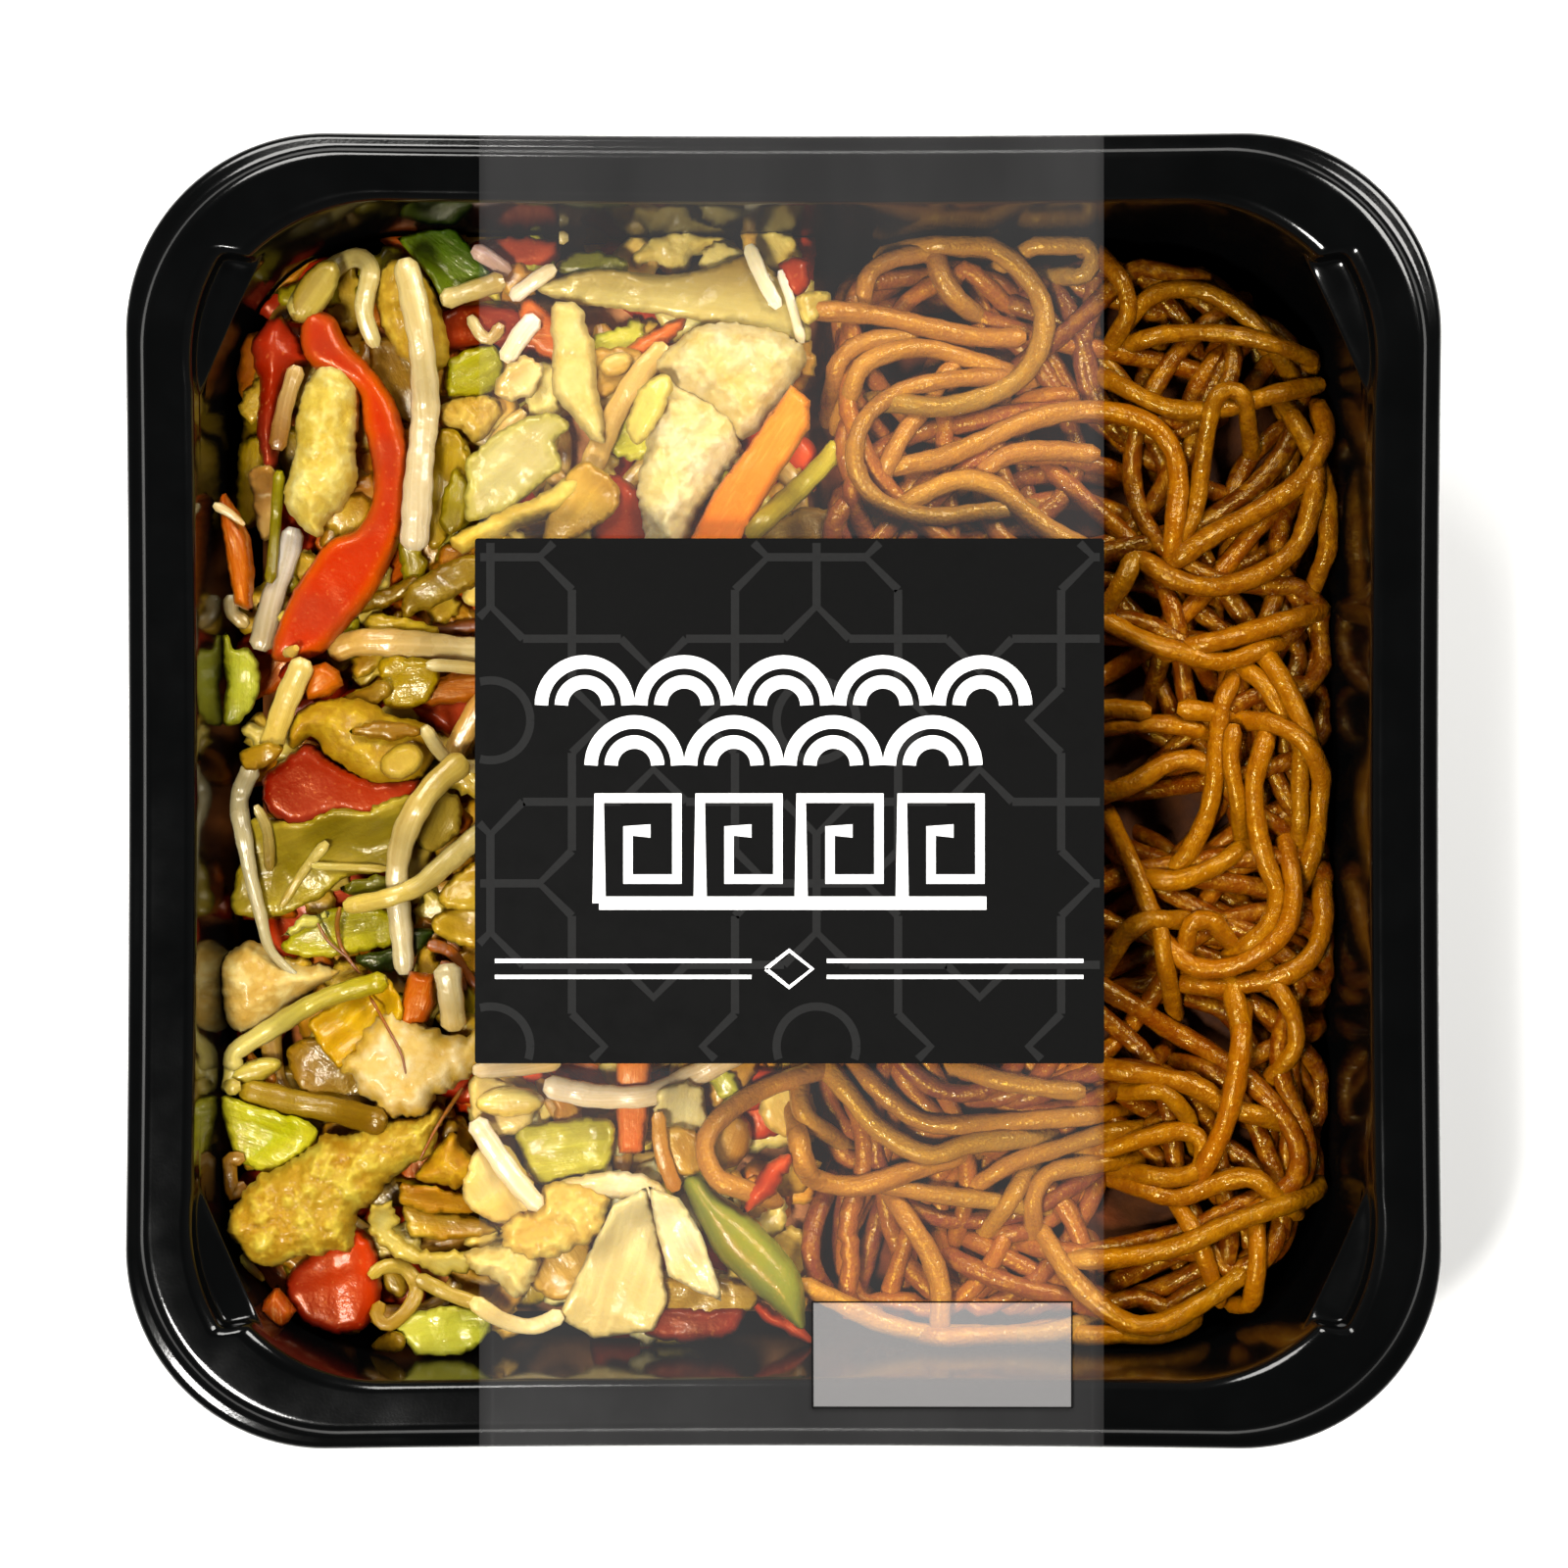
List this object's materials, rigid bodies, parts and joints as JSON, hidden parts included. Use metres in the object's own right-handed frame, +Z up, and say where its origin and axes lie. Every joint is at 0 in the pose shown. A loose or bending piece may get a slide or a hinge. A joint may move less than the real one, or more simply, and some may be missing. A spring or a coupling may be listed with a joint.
{
  "type": "noodle meal tray",
  "caption": "Square black plastic meal tray with soy noodles on one side, stir-fried vegetables and chicken on the other, and a see-through band with a dark label.",
  "frame": {"origin": "on the resting surface, under the middle of the tray", "axes": "+Z up, +Y towards the back edge, +X towards the noodles"},
  "size_m": [0.165, 0.1664, 0.042],
  "materials": {
    "tray": "glossy black moulded plastic",
    "band": "milky see-through film",
    "label": "matt black print with a faint lattice",
    "noodles": "wet brown soy noodles",
    "vegetables": "wet pale cabbage and leek",
    "chicken": "pale fried chicken",
    "red_pepper": "glossy cooked red pepper",
    "green_pepper": "glossy cooked green pepper",
    "carrot": "cooked carrot",
    "sprout": "wet pale bean sprout"
  },
  "bodies": {
    "root": {"tray": "tray", "band": "band", "label": "label", "noodles": "noodles", "vegetables": "vegetables", "red_pepper_1": "red_pepper", "red_pepper_2": "red_pepper", "red_pepper_3": "red_pepper", "red_pepper_4": "red_pepper", "red_pepper_5": "red_pepper", "red_pepper_6": "red_pepper", "carrot_1": "carrot", "carrot_2": "carrot", "carrot_3": "carrot", "carrot_4": "carrot", "carrot_5": "carrot", "carrot_6": "carrot", "red_pepper_7": "red_pepper", "green_pepper_1": "green_pepper", "red_pepper_8": "red_pepper", "chicken_1": "chicken", "chicken_2": "chicken", "chicken_3": "chicken", "chicken_4": "chicken", "chicken_5": "chicken", "chicken_6": "chicken", "chicken_7": "chicken", "chicken_8": "chicken", "carrot_7": "carrot", "chicken_9": "chicken", "chicken_10": "chicken", "chicken_11": "chicken", "chicken_12": "chicken", "sprout_1": "sprout", "sprout_2": "sprout", "sprout_3": "sprout", "sprout_4": "sprout", "sprout_5": "sprout", "sprout_6": "sprout", "sprout_7": "sprout", "sprout_8": "sprout", "sprout_9": "sprout", "sprout_10": "sprout", "sprout_11": "sprout", "sprout_12": "sprout", "sprout_13": "sprout", "sprout_14": "sprout"}
  },
  "joints": []
}
